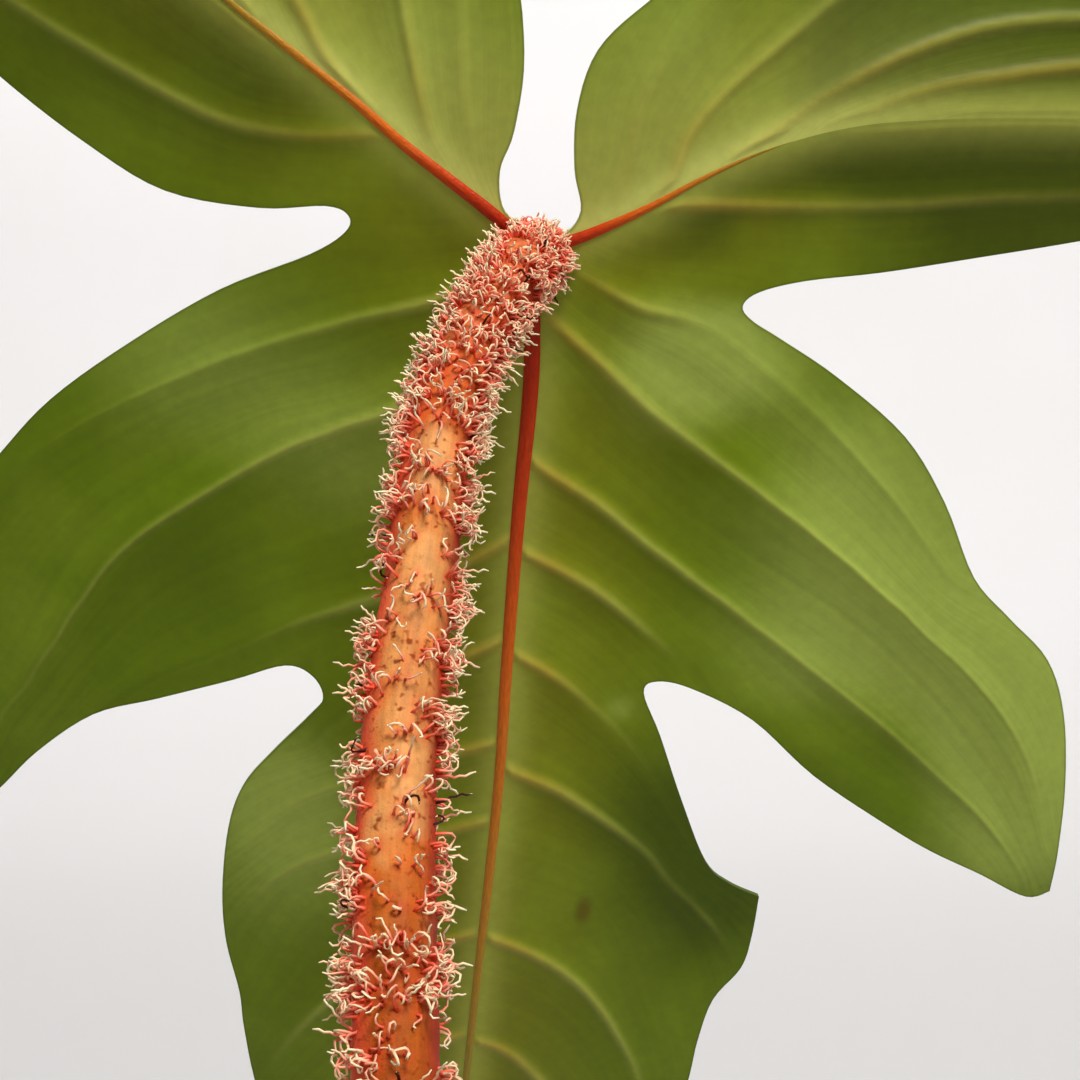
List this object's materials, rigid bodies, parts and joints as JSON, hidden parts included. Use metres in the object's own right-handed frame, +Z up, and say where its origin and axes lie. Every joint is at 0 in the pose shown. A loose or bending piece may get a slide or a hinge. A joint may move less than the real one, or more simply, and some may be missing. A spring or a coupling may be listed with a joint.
{
  "type": "potted philodendron",
  "caption": "Young climbing philodendron in a plain terracotta pot: lobed hanging leaf blades on red bristly petioles, with a rolled new leaf at the stem's top.",
  "frame": {"origin": "middle of the pot's flat underside", "axes": "+Z up along the stem; the largest leaf reaches out towards +Y, with its underside facing back to the stem"},
  "size_m": [0.4278, 0.4172, 0.5031],
  "materials": {
    "terracotta": "matt fired clay",
    "potting_soil": "rough, damp",
    "stem_bark": "smooth green bark",
    "young_leaf": "satin",
    "bristly_petiole": "satin skin with soft cream bristles",
    "leaf_blade": "satin green, red ribs underneath"
  },
  "bodies": {
    "root": {"pot": "terracotta", "soil": "potting_soil", "stem": "stem_bark", "new_leaf": "young_leaf", "leaf_1_petiole": "bristly_petiole", "leaf_2_petiole": "bristly_petiole", "leaf_3_petiole": "bristly_petiole", "leaf_4_petiole": "bristly_petiole", "leaf_5_petiole": "bristly_petiole", "leaf_1_blade": "leaf_blade", "leaf_2_blade": "leaf_blade", "leaf_3_blade": "leaf_blade", "leaf_4_blade": "leaf_blade", "leaf_5_blade": "leaf_blade"}
  },
  "joints": []
}
